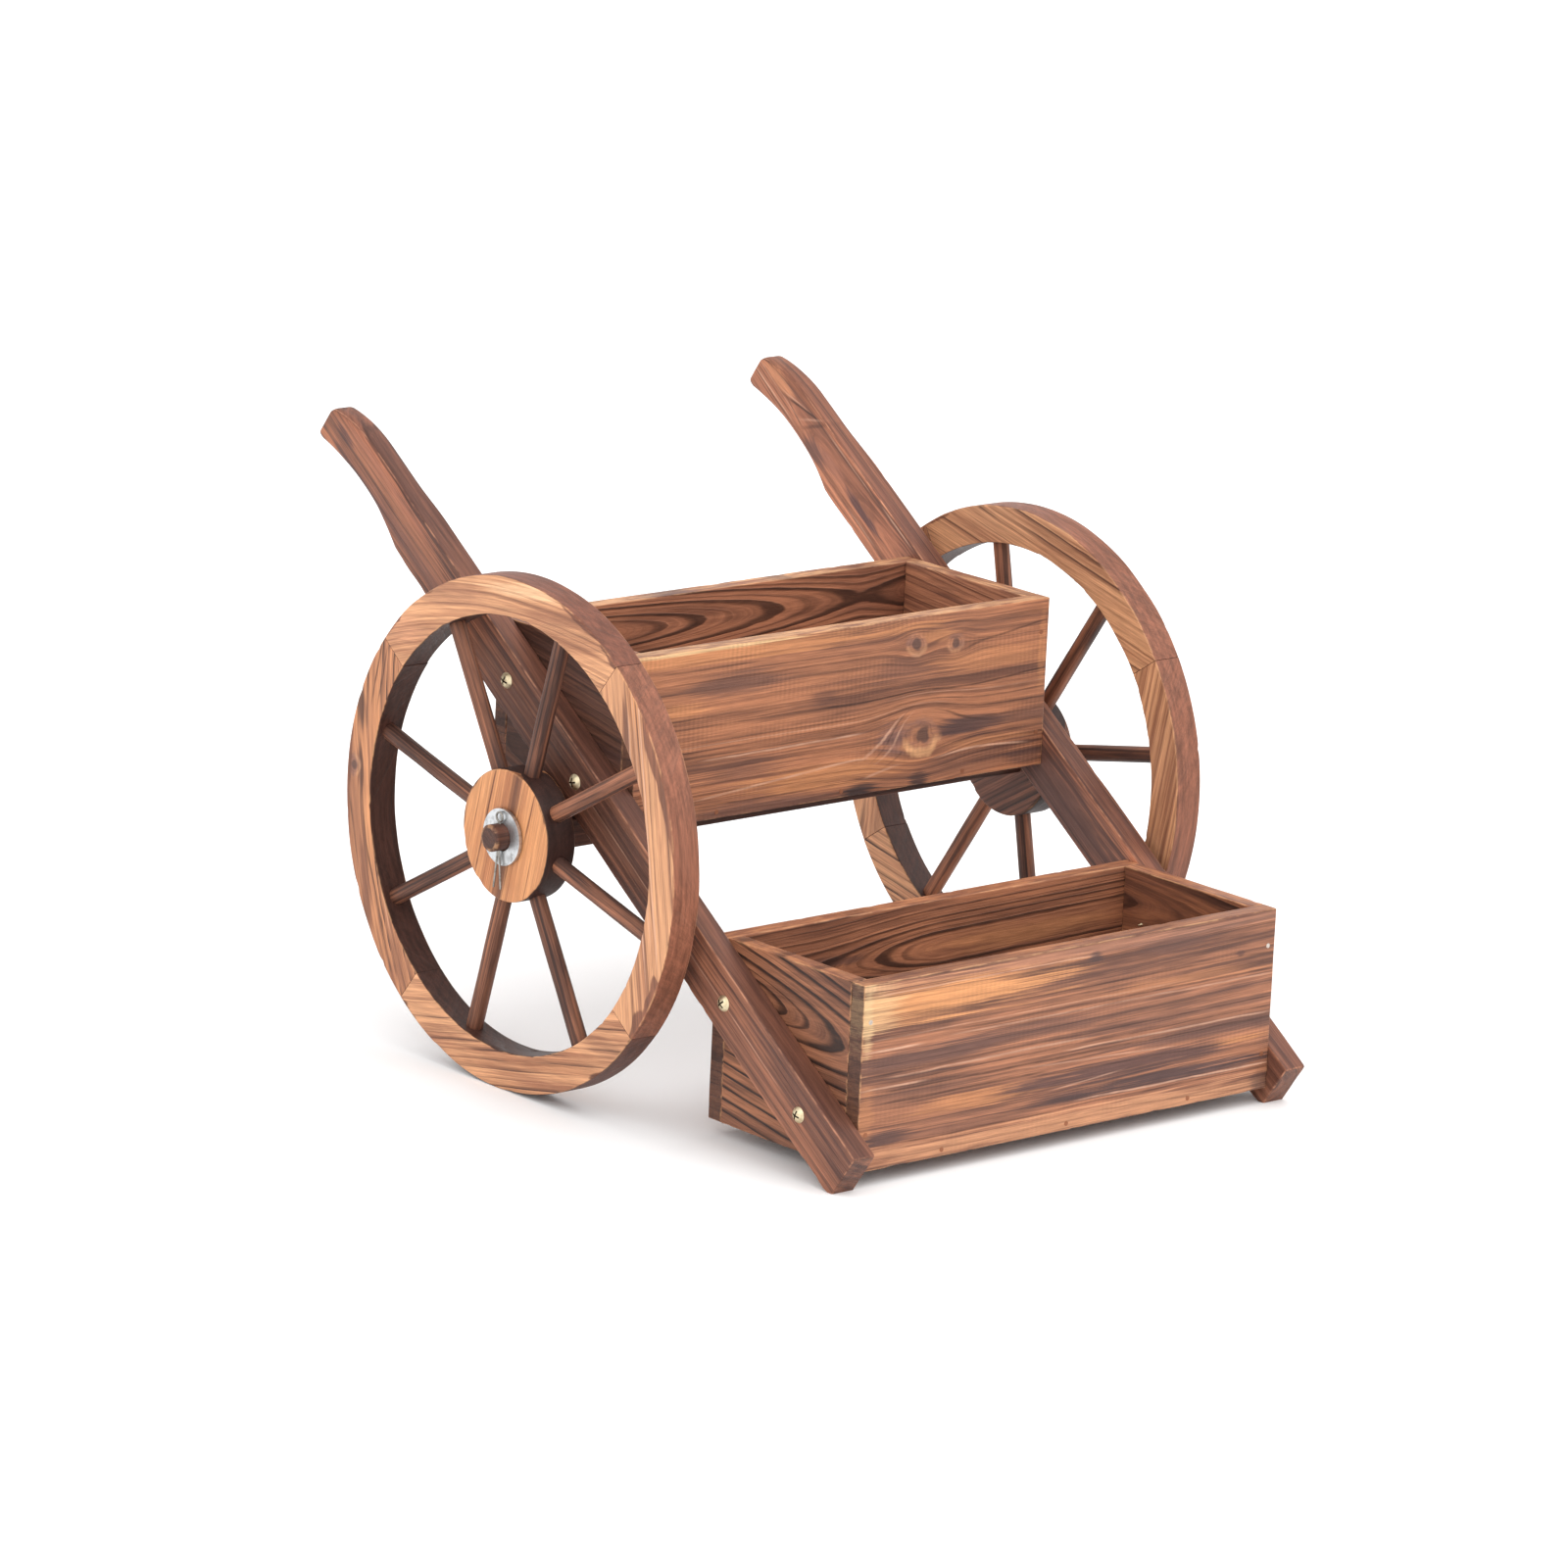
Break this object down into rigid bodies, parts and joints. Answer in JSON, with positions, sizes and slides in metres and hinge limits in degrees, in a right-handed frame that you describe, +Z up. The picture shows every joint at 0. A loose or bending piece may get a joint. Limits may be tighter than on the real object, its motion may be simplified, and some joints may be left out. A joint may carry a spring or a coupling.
{
  "type": "flower cart stand",
  "caption": "Two-tier wooden plant stand shaped like a hand cart: stepped planter boxes between sloping side rails that end in handles, with spoked wheels on an axle.",
  "frame": {"origin": "on the floor, at the centre of the bounding box's bottom", "axes": "+Z up, -Y to the front (the lower box), +Y to the handles, X along the axle; left is -X and right is +X, as seen from the front"},
  "size_m": [0.544, 0.6376, 0.454],
  "materials": {
    "rail_wood": "scorched fir, brushed",
    "box_wood": "scorched fir, brushed, light and dark grain",
    "beam_wood": "scorched fir, dark",
    "rim_wood": "scorched fir, light faces and dark edges",
    "hub_wood": "scorched fir, light end faces",
    "spoke_wood": "scorched fir dowel",
    "screw_brass": "brass-plated round-head screw",
    "bright_steel": "zinc-plated steel",
    "nail_steel": "plain steel nail"
  },
  "bodies": {
    "frame": {"left_rail": "rail_wood", "right_rail": "rail_wood", "lower_front_board": "box_wood", "lower_back_board": "box_wood", "lower_left_end": "box_wood", "lower_right_end": "box_wood", "lower_bottom_board": "box_wood", "lower_box_nails": "nail_steel", "upper_front_board": "box_wood", "upper_back_board": "box_wood", "upper_left_end": "box_wood", "upper_right_end": "box_wood", "upper_bottom_board": "box_wood", "upper_box_nails": "nail_steel", "axle_beam": "beam_wood", "left_rail_screws": "screw_brass", "right_rail_screws": "screw_brass", "beam_screws": "bright_steel", "left_washer": "bright_steel", "left_split_pin": "bright_steel", "right_washer": "bright_steel", "right_split_pin": "bright_steel"},
    "left_wheel": {"left_felloe_top": "rim_wood", "left_felloe_front": "rim_wood", "left_felloe_bottom": "rim_wood", "left_felloe_rear": "rim_wood", "left_hub": "hub_wood", "left_spoke_1": "spoke_wood", "left_spoke_2": "spoke_wood", "left_spoke_3": "spoke_wood", "left_spoke_4": "spoke_wood", "left_spoke_5": "spoke_wood", "left_spoke_6": "spoke_wood", "left_spoke_7": "spoke_wood", "left_spoke_8": "spoke_wood"},
    "right_wheel": {"right_felloe_top": "rim_wood", "right_felloe_front": "rim_wood", "right_felloe_bottom": "rim_wood", "right_felloe_rear": "rim_wood", "right_hub": "hub_wood", "right_spoke_1": "spoke_wood", "right_spoke_2": "spoke_wood", "right_spoke_3": "spoke_wood", "right_spoke_4": "spoke_wood", "right_spoke_5": "spoke_wood", "right_spoke_6": "spoke_wood", "right_spoke_7": "spoke_wood", "right_spoke_8": "spoke_wood"}
  },
  "joints": [
    {"name": "left_wheel_spin", "type": "hinge", "parent": "frame", "child": "left_wheel", "pos_m": [-0.244, 0.03491, 0.19], "axis": [1, 0, 0], "continuous": true},
    {"name": "right_wheel_spin", "type": "hinge", "parent": "frame", "child": "right_wheel", "pos_m": [0.244, 0.03491, 0.19], "axis": [1, 0, 0], "continuous": true}
  ]
}
